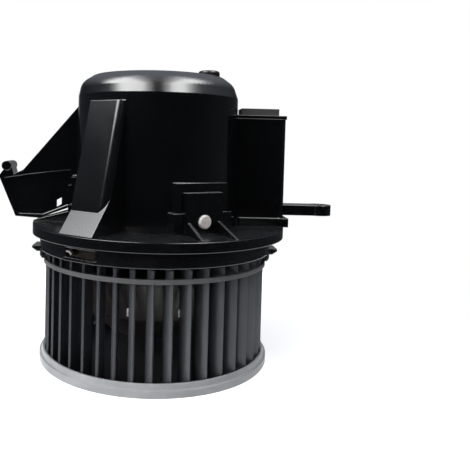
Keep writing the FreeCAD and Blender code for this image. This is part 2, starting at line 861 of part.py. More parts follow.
def cradle():
    body = new_body("cradle", z=-d.can_drop)
    inner = d.can_radius + d.seat_clearance
    outer = d.can_radius + d.cradle_wall
    ring = sketch(body, "cup_section")
    outline(ring, [
        (d.cradle_lip_radius, -d.cradle_lip),
        (outer, -d.cradle_lip),
        (outer, d.cradle_top),
        (inner, d.cradle_top),
        (inner, 0),
        (d.cradle_lip_radius, 0),
    ])
    turned(body, "cup", ring)
    centre = d.pin_height + d.can_drop
    lug = sketch(body, "lug_outline", "YZ_Plane", -d.lug_radius)
    low = centre - d.lug_half_height
    rectangle(lug, -d.lug_half_width, d.lug_half_width, low, centre + d.lug_half_height)
    lug_pad = pad(body, "lug", lug, d.lug_radius - outer + d.cradle_wall / 2)
    around(body, "lugs", [lug_pad], d.mount_count)
    bore = sketch(body, "lug_bore_outline", "YZ_Plane", -(d.lug_radius + d.cut_past))
    circle(bore, d.pin_radius + d.seat_clearance, 0, centre)
    bore_cut = pocket(body, "lug_bore", bore, d.lug_radius - d.pin_reach + d.cut_past * 2, back=True)
    screw = sketch(body, "screw_hole_outline", "XY_Plane", d.cradle_wall)
    circle(screw, d.cradle_screw_radius + d.slip_clearance, -d.cradle_screw_circle, 0)
    screw_cut = pocket(body, "screw_hole", screw, d.cradle_lip + d.cradle_wall + d.cut_past)
    around(body, "lug_bores", [bore_cut, screw_cut], d.mount_count)
    return body


def cradle_screws():
    """Three identical screws that hold the can in the cradle."""
    screws = []
    for number in range(int(d.mount_count.value)):
        angle = math.radians(180 + 360 / d.mount_count.value * number)
        spot = FreeCAD.Vector(math.cos(angle), math.sin(angle), 0) * d.cradle_screw_circle.value
        down = FreeCAD.Vector(0, 0, -1)
        base = spot - FreeCAD.Vector(0, 0, d.can_drop.value + d.cradle_lip.value)
        shank_length = d.cradle_lip.value + d.can_wall.value
        shank = Part.makeCylinder(d.cradle_screw_radius.value, shank_length, base)
        head_height = d.cradle_screw_head_height.value
        head = Part.makeCylinder(d.cradle_screw_head.value, head_height, base, down)
        width = d.screw_slot.value
        length = d.cradle_screw_head.value * 2
        corner = base - FreeCAD.Vector(length / 2, width / 2, head_height)
        slot = Part.makeBox(length, width, width, corner)
        screws.append(shank.fuse(head).cut(slot).removeSplitter())
    piece = document.addObject("Part::Feature", "cradle_screws")
    piece.Label = "cradle_screws"
    piece.Shape = Part.makeCompound(screws)
    return piece


# Rubber mounts and their pins


def rubber(name, turn):
    body = new_body(name, z=d.pin_height, turn=turn)
    section = sketch(body, "bush_section")
    start = d.lug_radius
    end = d.mount_face_radius - d.mount_wall
    third = (end - start) / 3
    inner = d.pin_radius + d.seat_clearance
    outline(section, [
        (start, inner),
        (end, inner),
        (end, d.rubber_radius),
        (end - third, d.rubber_radius),
        (end - third, d.rubber_radius - d.rubber_waist),
        (start + third, d.rubber_radius - d.rubber_waist),
        (start + third, d.rubber_radius),
        (start, d.rubber_radius),
    ])
    turned(body, "bush", section, axis="X_Axis")
    return body


def mount_pin(name, turn):
    body = new_body(name, z=d.pin_height, turn=turn)
    section = sketch(body, "pin_section")
    face = d.mount_face_radius
    head = face + d.pin_head_height
    outline(section, [
        (d.pin_reach, 0),
        (head, 0),
        (head, d.pin_head_radius),
        (face, d.pin_head_radius),
        (face, d.pin_radius),
        (d.pin_reach, d.pin_radius),
    ])
    turned(body, "pin", section, axis="X_Axis")
    rounded(body, "head_edge", d.pin_head_edge, disc_at(head, d.pin_head_radius))
    return body


# Motor: steel can, magnets, bearings


def can():
    body = new_body("motor_can", z=-d.can_drop)
    boss = d.bearing_radius + d.bearing_boss_wall
    boss_base = -(d.bearing_length - d.can_wall + d.bearing_boss_floor)
    section = sketch(body, "can_section")
    outline(section, [
        (d.shaft_radius + d.shaft_gap, boss_base),
        (boss, boss_base),
        (boss, 0),
        (d.can_radius, 0),
        (d.can_radius, d.can_height),
        (d.can_radius - d.can_wall, d.can_height),
        (d.can_radius - d.can_wall, d.can_wall),
        (d.bearing_radius + d.seat_clearance, d.can_wall),
        (d.bearing_radius + d.seat_clearance, boss_base + d.bearing_boss_floor),
        (d.shaft_radius + d.shaft_gap, boss_base + d.bearing_boss_floor),
    ])
    turned(body, "drawn_can", section)
    window = sketch(body, "window_outline", "XY_Plane", d.can_wall + d.cut_past)
    half = d.can_window_width / 2
    rectangle(window, d.can_window_inner, d.can_window_outer, -half, half)
    cut = pocket(body, "window", window, d.can_wall + d.cut_past * 2)
    around(body, "windows", [cut], d.can_window_count)
    screw = sketch(body, "screw_hole_outline", "XY_Plane", d.can_wall + d.cut_past)
    circle(screw, d.cradle_screw_radius + d.seat_clearance, -d.cradle_screw_circle, 0)
    screw_cut = pocket(body, "screw_hole", screw, d.can_wall + d.cut_past * 2)
    around(body, "screw_holes", [screw_cut], d.mount_count)
    return body


def magnet(name, turn):
    body = new_body(name, z=-d.can_drop, turn=turn)
    section = sketch(body, "magnet_section", turn=-d.magnet_angle / 2)
    outer = d.can_radius - d.can_wall - d.seat_clearance
    rectangle(section, d.magnet_inner_radius, outer, d.magnet_base, d.magnet_base + d.magnet_length)
    turned(body, "arc", section, angle=d.magnet_angle)
    return body


def bearing(name, base):
    body = new_body(name, z=base - d.can_drop)
    section = sketch(body, "bush_section")
    inner = d.shaft_radius + d.running_clearance
    chamfer = d.bearing_chamfer
    outline(section, [
        (inner, 0),
        (d.bearing_radius - chamfer, 0),
        (d.bearing_radius, chamfer),
        (d.bearing_radius, d.bearing_length),
        (inner, d.bearing_length),
    ])
    turned(body, "bush", section)
    return body


# Brush card: the plastic end cap with the brush gear


def card_base():
    return d.can_height - d.card_spigot


def card_top():
    return d.can_height + d.card_flange


def upper_bearing_base():
    """The upper bearing lies against the closed end of the card's boss."""
    return card_top() + d.card_boss_height - d.wall - d.bearing_length


def brush_card():
    body = new_body("brush_card", z=-d.can_drop)
    boss = d.bearing_radius + d.bearing_boss_wall
    boss_top = card_top() + d.card_boss_height
    pocket_radius = d.bearing_radius + d.seat_clearance
    section = sketch(body, "card_section")
    spigot = d.can_radius - d.can_wall - d.seat_clearance
    outline(section, [
        (pocket_radius, card_base()),
        (spigot, card_base()),
        (spigot, d.can_height),
        (d.can_radius, d.can_height),
        (d.can_radius, card_top()),
        (boss, card_top()),
        (boss, boss_top),
        (0, boss_top),
        (0, boss_top - d.wall),
        (pocket_radius, boss_top - d.wall),
    ])
    turned(body, "card", section)
    for side, sign in (("right", 1), ("left", -1)):
        slot = sketch(body, side + "_bar_slot_outline", "XY_Plane", card_top() + d.cut_past)
        middle = bar_start_y() * sign
        half = d.bar_width / 2 + d.slip_clearance
        rectangle(slot, -half, half, middle - d.bar_thickness, middle + d.bar_thickness)
        pocket(body, side + "_bar_slot", slot, d.card_spigot + d.card_flange + d.cut_past * 2)
    vent = sketch(body, "vent_outline", "XY_Plane", card_top() + d.cut_past)
    vent_half = d.card_vent_width / 2
    rectangle(vent, -d.can_window_outer, -d.can_window_inner, -vent_half, vent_half)
    vent_cut = pocket(body, "vent", vent, d.card_spigot + d.card_flange + d.cut_past * 2)
    around(body, "vents", [vent_cut], d.card_vent_count)
    return body


def brush_middle():
    """Height of the brushes above the can's bottom."""
    return card_base() - d.brush_box_wall - d.brush_height / 2


def brush_box(name, turn):
    body = new_body(name, z=-d.can_drop, turn=turn)
    half = d.brush_half_width + d.brush_clearance + d.brush_box_wall
    low = card_base() - d.brush_height - d.brush_box_wall * 2
    tube = sketch(body, "tube_outline", "YZ_Plane", d.brush_box_start)
    rectangle(tube, -half, half, low, card_base())
    pad(body, "tube", tube, d.brush_box_length)
    inside = sketch(body, "inside_outline", "YZ_Plane", d.brush_box_start - d.cut_past)
    half_inside = half - d.brush_box_wall
    rectangle(inside, -half_inside, half_inside, low + d.brush_box_wall, card_base() - d.brush_box_wall)
    pocket(body, "inside", inside, d.brush_box_length - d.brush_box_wall + d.cut_past, back=True)
    return body


def brush(name, turn):
    body = new_body(name, z=-d.can_drop, turn=turn)
    section = sketch(body, "brush_outline", "YZ_Plane", d.commutator_radius + d.brush_clearance)
    half_height = d.brush_height / 2 - d.seat_clearance
    rectangle(section, -d.brush_half_width, d.brush_half_width,
              brush_middle() - half_height, brush_middle() + half_height)
    pad(body, "block", section, d.brush_length)
    return body


def brush_spring(name, turn):
    """A folded strip between the brush and the closed end of its box."""
    body = new_body(name, z=-d.can_drop, turn=turn)
    start = d.commutator_radius + d.brush_clearance + d.brush_length + d.seat_clearance
    end = d.brush_box_start + d.brush_box_length - d.brush_box_wall - d.seat_clearance
    folds = int(d.spring_folds.value)
    step = (end - start) / folds
    slope = d.brush_half_width * 2 / step
    rise = d.spring_strip * root(slope * slope + 1)
    low_side = []
    for fold in range(folds + 1):
        side = d.brush_half_width - rise if fold % 2 else -d.brush_half_width
        low_side.append((start + step * fold, side))
    high_side = [(x, y + rise) for x, y in reversed(low_side)]
    section = sketch(body, "strip_outline", "XY_Plane", brush_middle() - d.brush_height / 4)
    outline(section, low_side + high_side)
    pad(body, "strip", section, d.brush_height / 2)
    return body


def bar_start_y():
    """Where a bus bar stands on its brush box."""
    return d.brush_box_start + d.brush_box_length / 2


def bus_bar(name, sign):
    """Brass strip from a brush box, over the card and through the bell, to a plug blade."""
    body = new_body(name)
    card_z = card_top() - d.can_drop
    half = d.bar_width / 2
    thick = d.bar_thickness
    start_y = bar_start_y() * sign
    blade_y = d.pin_pitch / 2 * sign
    far_y = start_y + half * sign
    near_y = start_y - half * sign
    drop_x = d.bar_drop_x

    leg = sketch(body, "leg_outline", "XY_Plane", card_base() - d.can_drop)
    rectangle(leg, -half, half, start_y - thick / 2, start_y + thick / 2)
    pad(body, "leg", leg, d.card_spigot + d.card_flange + thick)
    run = sketch(body, "run_outline", "XY_Plane", card_z)
    inner_y = blade_y - half * sign
    outer_y = blade_y + half * sign
    outline(run, [
        (-half, near_y),
        (drop_x - d.bar_width * 3, near_y),
        (drop_x - thick, inner_y),
        (drop_x, inner_y),
        (drop_x, outer_y),
        (drop_x - d.bar_width * 2, far_y),
        (-half, far_y),
    ])
    pad(body, "run", run, thick)
    drop = sketch(body, "drop_outline", "XY_Plane", bar_low())
    rectangle(drop, drop_x - thick, drop_x, inner_y, outer_y)
    pad(body, "drop", drop, card_z - bar_low() + thick)
    low = sketch(body, "low_outline", "XY_Plane", bar_low())
    rectangle(low, drop_x - thick, d.socket_x + thick / 2, inner_y, outer_y)
    pad(body, "low_run", low, thick)
    blade = sketch(body, "blade_outline", "XY_Plane", bar_low())
    blade_half = d.pin_blade_width / 2
    left = d.socket_x - thick / 2
    rectangle(blade, left, left + thick, blade_y - blade_half, blade_y + blade_half)
    pad(body, "blade", blade, d.bar_gap + d.socket_depth + d.pin_blade_rise)
    return body


# Plug socket, box cover and bung


def plug_socket():
    body = new_body("plug_socket", x=d.socket_x)
    block = sketch(body, "block_outline", "XY_Plane", socket_base())
    rectangle(block, -d.socket_half_length, d.socket_half_length, -d.socket_half_width, d.socket_half_width)
    pad(body, "block", block, d.socket_rise + d.socket_depth)
    collar = sketch(body, "stop_outline", "XY_Plane", box_top() - d.box_wall - d.seat_clearance)
    long_half = d.socket_half_length + d.socket_lip
    wide_half = d.socket_half_width + d.socket_lip
    rectangle(collar, -long_half, long_half, -wide_half, wide_half)
    pad(body, "stop", collar, d.box_wall, back=True)
    well = sketch(body, "well_outline", "XY_Plane", box_top() + d.socket_rise + d.cut_past)
    rectangle(well, -(d.socket_half_length - d.socket_wall), d.socket_half_length - d.socket_wall,
              -(d.socket_half_width - d.socket_wall), d.socket_half_width - d.socket_wall)
    pocket(body, "well", well, d.socket_rise + d.socket_well + d.cut_past)
    slots = sketch(body, "blade_slot_outline", "XY_Plane", socket_floor() + d.cut_past)
    half_x = d.bar_thickness / 2 + d.slip_clearance / 2
    half_y = d.pin_blade_width / 2 + d.slip_clearance / 2
    for sign in (1, -1):
        middle = d.pin_pitch / 2 * sign
        rectangle(slots, -half_x, half_x, middle - half_y, middle + half_y)
    pocket(body, "blade_slots", slots, d.socket_depth - d.socket_well + d.cut_past * 2)
    return body


def box_cover():
    body = new_body("box_cover")
    plate = sketch(body, "cover_outline", lift=-d.box_half_depth)
    gap = d.slip_clearance
    rectangle(plate, d.box_left_inside + gap, d.box_right - d.box_wall - gap,
              d.flange_thickness + d.box_wall + gap, box_top() - d.box_wall - gap)
    pad(body, "plate", plate, d.box_wall)
    return body


def bung():
    """Round-headed rubber bung in the crown."""
    body = new_body("crown_bung", x=d.bung_x, y=d.bung_y, z=bell_top())
    section = sketch(body, "bung_section")
    stem = d.bung_hole_radius - d.seat_clearance
    barb_top = -(d.wall + d.bung_barb_gap)
    barb_end = barb_top - d.bung_barb_length
    outline(section, [
        (0, barb_end),
        (stem - d.bung_barb, barb_end),
        (stem + d.bung_barb, barb_top),
        (stem, barb_top),
        (stem, 0),
        (d.bung_radius, 0),
        (d.bung_radius, d.bung_thickness),
        (0, d.bung_thickness),
    ])
    turned(body, "bung", section)
    rounded(body, "bung_edge", d.bung_edge, ring_at(d.bung_thickness, d.bung_radius))
    return body


# Rotor


def shaft():
    base = -(d.wheel_drop - d.hub_base) - d.clip_gap - d.clip_thickness * 2
    top = upper_bearing_base() + d.bearing_length - d.can_drop - d.shaft_gap
    body = new_body("shaft")
    section = sketch(body, "shaft_section")
    chamfer = d.shaft_chamfer
    outline(section, [
        (0, base),
        (d.shaft_radius - chamfer, base),
        (d.shaft_radius, base + chamfer),
        (d.shaft_radius, top - chamfer),
        (d.shaft_radius - chamfer, top),
        (0, top),
    ])
    turned(body, "turned_shaft", section)
    return body


def armature_core():
    body = new_body("armature_core", z=d.core_base - d.can_drop)
    disc = sketch(body, "lamination_outline", "XY_Plane")
    circle(disc, d.core_radius)
    circle(disc, d.shaft_radius + d.seat_clearance)
    pad(body, "stack", disc, d.core_length)
    slot = sketch(body, "slot_outline", "XY_Plane")
    half = d.slot_width / 2
    mouth = d.slot_mouth / 2
    outline(slot, [
        (d.slot_inner, -half * d.slot_taper),
        (d.slot_outer, -half),
        (d.slot_outer + d.slot_shoulder, -mouth),
        (d.core_radius + d.cut_past, -mouth),
        (d.core_radius + d.cut_past, mouth),
        (d.slot_outer + d.slot_shoulder, mouth),
        (d.slot_outer, half),
        (d.slot_inner, half * d.slot_taper),
    ])
    cut = pocket(body, "slot", slot, d.core_length, back=True)
    around(body, "slots", [cut], d.slot_count)
    return body


def windings():
    body = new_body("windings", z=d.core_base - d.can_drop)
    for name, base, rise in (("lower", -d.coil_head, 1), ("upper", d.core_length, -1)):
        head = sketch(body, name + "_head_section")
        start = base + d.seat_clearance * rise * -1
        bevel = d.coil_bevel
        outline(head, [
            (d.coil_inner, start),
            (d.coil_outer - bevel, start),
            (d.coil_outer, start + bevel),
            (d.coil_outer, start + d.coil_head - bevel),
            (d.coil_outer - bevel, start + d.coil_head),
            (d.coil_inner, start + d.coil_head),
        ])
        turned(body, name + "_head", head)
    bar = sketch(body, "slot_fill_outline", "XY_Plane", -d.cut_past)
    half = d.slot_width / 2 - d.coil_gap
    outline(bar, [
        (d.slot_inner + d.coil_gap, -half * d.slot_taper),
        (d.slot_outer - d.coil_gap, -half),
        (d.slot_outer - d.coil_gap, half),
        (d.slot_inner + d.coil_gap, half * d.slot_taper),
    ])
    fill = pad(body, "slot_fill", bar, d.core_length + d.cut_past * 2)
    around(body, "slot_fills", [fill], d.slot_count)
    return body


def commutator():
    body = new_body("commutator", z=d.commutator_base - d.can_drop)
    ring = sketch(body, "ring_outline", "XY_Plane")
    circle(ring, d.commutator_radius)
    circle(ring, d.shaft_radius + d.seat_clearance)
    pad(body, "ring", ring, d.commutator_length)
    slit = sketch(body, "slit_outline", "XY_Plane", d.commutator_length + d.cut_past)
    half = d.commutator_slit / 2
    inner = d.commutator_radius - d.commutator_slit_depth
    rectangle(slit, inner, d.commutator_radius + d.cut_past, -half, half)
    cut = pocket(body, "slit", slit, d.commutator_length + d.cut_past * 2)
    around(body, "slits", [cut], d.slot_count)
    return body


def blade_outline(drawing):
    """One blade seen along the axis: two arcs, hollow towards the way the wheel turns."""
    half = d.blade_thickness / 2
    camber = d.blade_camber_radius
    tip = (size_of(0), -d.blade_outer_radius)
    inner = (-(d.blade_inner_radius * sine(d.blade_lean_angle)),
             -(d.blade_inner_radius * cosine(d.blade_lean_angle)))
    chord = (inner[0] - tip[0], inner[1] - tip[1])
    length = root(chord[0] * chord[0] + chord[1] * chord[1])
    depth = root(camber * camber - length * length / 4)
    centre = ((inner[0] + tip[0]) / 2 + chord[1] / length * depth,
              (inner[1] + tip[1]) / 2 - chord[0] / length * depth)
    up = FreeCAD.Vector(0, 0, 1)
    arcs = []
    for radius in (camber + half, camber - half):
        scale = radius / camber
        ends = []
        for spot in (tip, inner):
            ends.append([middle + (place - middle) * scale for place, middle in zip(spot, centre)])
        angles = [math.atan2((y - centre[1]).value, (x - centre[0]).value) % math.tau for x, y in ends]
        if angles[0] > angles[1]:
            angles.reverse()
            ends.reverse()
        middle_point = FreeCAD.Vector(centre[0].value, centre[1].value, 0)
        arc = Part.ArcOfCircle(Part.Circle(middle_point, up, radius.value), *angles)
        number = drawing.addGeometry(arc, False)
        for here, (x, y) in zip((1, 2), ends):
            pin_point(drawing, number, here, x, y)
        measure = drawing.addConstraint(Sketcher.Constraint("Radius", number, radius.value))
        bind(drawing, "Constraints[%d]" % measure, radius)
        arcs.append(number)
    for here in (1, 2):
        ends = [drawing.getPoint(arc, here) for arc in arcs]
        line = drawing.addGeometry(Part.LineSegment(*ends), False)
        for end_number, arc in enumerate(arcs):
            drawing.addConstraint(Sketcher.Constraint("Coincident", line, end_number + 1, arc, here))


def blade_top():
    """Height of the blades' tops, which run just clear of the flange and the air scoop."""
    return d.wheel_drop - d.wheel_clearance


def wheel_ring():
    """Flared ring that the blades stand on, with a low wall round their feet."""
    body = new_body("wheel_ring", z=-d.wheel_drop)
    ring = sketch(body, "ring_section")
    wall_inside = d.blade_outer_radius + d.ring_step
    wall_outside = wall_inside + d.ring_step * 2
    outline(ring, [
        (d.ring_bore_radius, 0),
        (d.ring_radius, 0),
        (d.ring_radius, d.ring_lip_height),
        (d.ring_radius - d.ring_step * 2, d.ring_lip_height + d.ring_step),
        (wall_outside, d.ring_height),
        (wall_inside, d.ring_height),
        (wall_inside, d.ring_wall),
        (d.ring_bore_radius, d.ring_wall),
    ])
    turned(body, "ring", ring)
    return body


def wheel_blades():
    """Forward-curved blades on the ring, all alike."""
    body = new_body("wheel_blades", z=-d.wheel_drop)
    body.AllowCompound = True
    foot = d.ring_wall + d.seat_clearance
    blade = sketch(body, "blade_section", "XY_Plane", foot)
    blade_outline(blade)
    first = pad(body, "blade", blade, blade_top() - foot)
    around(body, "blades", [first], d.blade_count)
    return body


def wheel_hoop():
    """Hoop that holds the blades together near their tops."""
    body = new_body("wheel_hoop", z=-d.wheel_drop)
    hoop = sketch(body, "hoop_section")
    inside = d.blade_outer_radius + d.ring_step
    low = blade_top() - d.hoop_drop
    rectangle(hoop, inside, inside + d.hoop_thickness, low, low + d.hoop_depth)
    turned(body, "hoop", hoop)
    return body


def wheel_hub():
    """Deep dome from the blades' tops down to the hub on the shaft, with ribs under it."""
    body = new_body("wheel_hub", z=-d.wheel_drop)
    dome = sketch(body, "dome_section")
    rim_outer = d.blade_inner_radius - d.blade_thickness / 2 - d.seat_clearance
    rim_inner = rim_outer - d.dome_wall
    hub_inside = d.shaft_radius + d.seat_clearance
    low = d.dome_floor_height
    rim_high = blade_top() - d.dome_rim_drop
    rim_low = rim_high - d.dome_rim_depth
    outline(dome, [
        (hub_inside, low),
        (d.dome_floor_radius, low),
        (d.dome_belly_radius, d.dome_belly_height),
        (rim_outer, rim_low),
        (rim_outer, rim_high),
        (rim_inner, rim_high),
        (rim_inner, rim_low),
        (d.dome_belly_radius - d.dome_wall, d.dome_belly_height + d.dome_wall / 2),
        (d.dome_floor_radius - d.dome_wall / 2, low + d.dome_wall),
        (hub_inside, low + d.dome_wall),
    ])
    turned(body, "dome", dome)
    hub = sketch(body, "hub_section")
    rectangle(hub, hub_inside, d.hub_radius, d.hub_base, d.hub_base + d.hub_length)
    turned(body, "hub", hub)
    rib = sketch(body, "hub_rib_section")
    rib_start = d.hub_radius - d.hub_rib_thickness / 2
    outline(rib, [
        (rib_start, d.hub_base + d.hub_rib_thickness),
        (d.hub_radius + d.hub_rib_thickness, d.hub_base + d.hub_rib_thickness),
        (d.dome_floor_radius - d.dome_wall, low + d.dome_wall / 2),
        (rib_start, low + d.dome_wall / 2),
    ])
    rib_pad = pad(body, "hub_rib", rib, d.hub_rib_thickness, "Symmetric")
    around(body, "hub_ribs", [rib_pad], d.hub_rib_count)
    return body


def hub_clip():
    """Spring clip that holds the wheel on the shaft."""
    body = new_body("hub_clip", z=-(d.wheel_drop - d.hub_base) - d.seat_clearance)
    section = sketch(body, "clip_section")
    outline(section, [
        (d.shaft_radius + d.seat_clearance, -(d.clip_thickness + d.clip_gap)),
        (d.shaft_radius + d.clip_collar, -(d.clip_thickness + d.clip_gap)),
        (d.clip_radius - d.clip_bend, -d.clip_thickness),
        (d.clip_radius, -d.clip_thickness),
        (d.clip_radius, 0),
        (d.shaft_radius + d.clip_collar, 0),
        (d.shaft_radius + d.seat_clearance, -d.clip_gap),
    ])
    turned(body, "disc", section)
    slit = sketch(body, "slit_outline", "XY_Plane", d.cut_past)
    half = d.clip_slit / 2
    rectangle(slit, d.shaft_radius - d.cut_past, d.clip_radius - d.clip_slit_end, -half, half)
    cut = pocket(body, "slit", slit, d.clip_thickness + d.clip_gap + d.cut_past * 2)
    around(body, "slits", [cut], d.clip_slit_count)
    return body


# Build and write out

MOUNT_TURNS = {"front_right": -60, "rear_right": 60, "left": 180}

pieces = [bell(), flange(), wiring_box(), side_bracket(), cradle(), cradle_screws()]
for place, turn in MOUNT_TURNS.items():
    pieces.append(rubber("rubber_mount_" + place, turn))
    pieces.append(mount_pin("mount_pin_" + place, turn))
pieces.append(can())
for side, turn in (("front", -90), ("rear", 90)):
    pieces.append(magnet("magnet_" + side, turn))
    pieces.append(brush_box("brush_box_" + side, turn))
    pieces.append(brush("brush_" + side, turn))
    pieces.append(brush_spring("brush_spring_" + side, turn))
pieces.append(bearing("lower_bearing", d.can_wall - d.bearing_length))
pieces.append(bearing("upper_bearing", upper_bearing_base()))
pieces.append(brush_card())
pieces.append(bus_bar("bus_bar_front", -1))
pieces.append(bus_bar("bus_bar_rear", 1))
pieces.append(plug_socket())
pieces.append(box_cover())
pieces.append(bung())
pieces.append(shaft())
pieces.append(armature_core())
pieces.append(windings())
pieces.append(commutator())
pieces.append(wheel_ring())
pieces.append(wheel_blades())
pieces.append(wheel_hoop())
pieces.append(wheel_hub())
pieces.append(hub_clip())

document.recompute()
for item in document.Objects:
    if "Invalid" in item.State or "Error" in item.State:
        raise RuntimeError("%s in %s can't be made" % (item.Name, item.Label))
os.makedirs("parts", exist_ok=True)
for piece in pieces:
    shape = piece.Shape
    if shape.isNull() or not shape.isValid() or not shape.Solids:
        raise RuntimeError("%s isn't a sound solid" % piece.Label)
    shape.exportStep(os.path.join("parts", piece.Label + ".step"))
    print("%-24s %d solid  %10.1f mm3" % (piece.Label, len(shape.Solids), shape.Volume))
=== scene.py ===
import math

import bmesh
import bpy
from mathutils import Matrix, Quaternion, Vector


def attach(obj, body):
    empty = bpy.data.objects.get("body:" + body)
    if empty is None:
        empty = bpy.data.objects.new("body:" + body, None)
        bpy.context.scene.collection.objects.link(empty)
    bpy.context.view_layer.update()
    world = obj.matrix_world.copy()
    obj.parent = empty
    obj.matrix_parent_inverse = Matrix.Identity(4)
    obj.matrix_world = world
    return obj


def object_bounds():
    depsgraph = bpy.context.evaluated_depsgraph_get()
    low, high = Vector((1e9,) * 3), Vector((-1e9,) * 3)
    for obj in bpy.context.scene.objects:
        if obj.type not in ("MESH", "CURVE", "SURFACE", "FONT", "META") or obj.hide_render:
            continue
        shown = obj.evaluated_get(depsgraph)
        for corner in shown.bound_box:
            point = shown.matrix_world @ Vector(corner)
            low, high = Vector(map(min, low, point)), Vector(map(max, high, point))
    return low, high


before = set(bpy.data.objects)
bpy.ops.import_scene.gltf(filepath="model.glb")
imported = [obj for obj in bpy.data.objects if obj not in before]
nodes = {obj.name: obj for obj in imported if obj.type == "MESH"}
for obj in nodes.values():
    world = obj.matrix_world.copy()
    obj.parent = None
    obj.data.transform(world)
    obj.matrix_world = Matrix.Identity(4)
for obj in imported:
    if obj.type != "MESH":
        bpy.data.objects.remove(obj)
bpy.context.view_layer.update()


# Armature: stacked steel sheets, enamelled copper wire in their slots and a copper commutator,
# all pressed on a ground steel shaft. The worked metal is faintly mottled, and the wire's enamel
# is reddish brown and glossy.

SHAFT_STEEL = (0.62, 0.62, 0.62)
SHEET_STEEL = (0.20, 0.20, 0.21)
WIRE_ENAMEL = (0.36, 0.11, 0.035)
COMMUTATOR_COPPER = (0.62, 0.30, 0.17)
FINE_MARKS = 400.0
SHEET_MARKS = 900.0
METAL_TONES = (0.85, 1.1)
METAL_WEAR = (0.8, 1.3)
METAL_EDGE = 0.0002
METAL_GRAIN = 0.1
WIRE_ROWS = 260.0
WIRE_SWAY = 1.5
WIRE_GAP_TONE = 0.5
WIRE_EDGE = 0.0005
WIRE_RELIEF = 0.6
GRAIN_DEPTH = 0.0001
EDGE_SAMPLES = 8


def new_finish(name):
    """An empty node material with its tree and its Principled shader."""
    finish = bpy.data.materials.new(name)
    finish.use_nodes = True
    return finish, finish.node_tree, finish.node_tree.nodes["Principled BSDF"]


def fill(node, **values):
    """Sets the node's sockets by their names, with an underscore for each space."""
    for socket, value in values.items():
        node.inputs[socket.replace("_", " ")].default_value = value
    return node


def cloud(tree, scale, detail=4.0):
    """Soft noise over the piece's own place, in metres."""
    place = tree.nodes.new("ShaderNodeTexCoord")
    noise = fill(tree.nodes.new("ShaderNodeTexNoise"), Scale=scale, Detail=detail, Roughness=0.55)
    tree.links.new(place.outputs["Object"], noise.inputs["Vector"])
    return noise.outputs["Fac"]


def spread(tree, source, low, high, start=0.35, end=0.65):
    """The source's range from start to end stretched between two numbers or two colours."""
    if isinstance(low, tuple):
        ramp = tree.nodes.new("ShaderNodeValToRGB")
        for stop, position, colour in zip(ramp.color_ramp.elements, (start, end), (low, high)):
            stop.position = position
            stop.color = (*colour, 1.0)
        tree.links.new(source, ramp.inputs["Fac"])
        return ramp.outputs["Color"]
    span = fill(tree.nodes.new("ShaderNodeMapRange"), From_Min=start, From_Max=end, To_Min=low, To_Max=high)
    tree.links.new(source, span.inputs["Value"])
    return span.outputs["Result"]


def tone(colour, share):
    return tuple(channel * share for channel in colour)


def mottle(tree, shader, colour, tones, scale):
    """Soft patches between two tones of the colour."""
    patches = spread(tree, cloud(tree, scale), *[tone(colour, share) for share in tones])
    tree.links.new(patches, shader.inputs["Base Color"])


def soft_edges(tree, shader, radius, height, strength):
    """Rounds the piece's sharp edges in the shading and lays a fine grain over its faces."""
    edge = fill(tree.nodes.new("ShaderNodeBevel"), Radius=radius)
    edge.samples = EDGE_SAMPLES
    grain = fill(tree.nodes.new("ShaderNodeBump"), Strength=strength, Distance=GRAIN_DEPTH)
    tree.links.new(height, grain.inputs["Height"])
    tree.links.new(edge.outputs["Normal"], grain.inputs["Normal"])
    tree.links.new(grain.outputs["Normal"], shader.inputs["Normal"])


def worked_metal(name, colour, roughness, marks=FINE_MARKS):
    """Bare or plated metal whose marks show in its tone, its gloss and a fine grain."""
    finish, tree, shader = new_finish(name)
    mottle(tree, shader, colour, METAL_TONES, marks)
    fill(shader, Metallic=1.0)
    wear = spread(tree, cloud(tree, marks * 2), *[roughness * share for share in METAL_WEAR])
    tree.links.new(wear, shader.inputs["Roughness"])
    soft_edges(tree, shader, METAL_EDGE, cloud(tree, marks * 4), METAL_GRAIN)
    return finish


def wire_turns(name, colour):
    """Enamelled wire: close rows of turns in the bump, with darker lines between them."""
    finish, tree, shader = new_finish(name)
    place = tree.nodes.new("ShaderNodeTexCoord")
    rows = fill(tree.nodes.new("ShaderNodeTexWave"), Scale=WIRE_ROWS, Distortion=WIRE_SWAY, Detail=2.0)
    rows.bands_direction = "Z"
    tree.links.new(place.outputs["Object"], rows.inputs["Vector"])
    shades = spread(tree, rows.outputs["Fac"], tone(colour, WIRE_GAP_TONE), colour)
    tree.links.new(shades, shader.inputs["Base Color"])
    fill(shader, Roughness=0.3, Coat_Weight=0.5)
    soft_edges(tree, shader, WIRE_EDGE, rows.outputs["Fac"], WIRE_RELIEF)
    return finish


def give(finish, *names):
    """Puts a finish on CAD nodes."""
    for name in names:
        for place in nodes[name].material_slots:
            place.material = finish


give(worked_metal("ground shaft steel", SHAFT_STEEL, roughness=0.22), "shaft")
give(worked_metal("lamination steel", SHEET_STEEL, roughness=0.5, marks=SHEET_MARKS), "armature_core")
give(wire_turns("enamelled copper wire", WIRE_ENAMEL), "windings")
give(worked_metal("commutator copper", COMMUTATOR_COPPER, roughness=0.3), "commutator")


# Motor case: a drawn and zinc-plated can with two ferrite magnets glued in, and a bush of oiled
# bronze at each end for the shaft. The plating is dull and slightly mottled.

ZINC = (0.55, 0.55, 0.53)
ZINC_MARKS = 120.0
FERRITE = (0.045, 0.045, 0.05)
BRONZE = (0.42, 0.28, 0.14)
DULL_TONES = (0.75, 1.25)
DULL_EDGE = 0.0003
DULL_GRAIN = 0.25


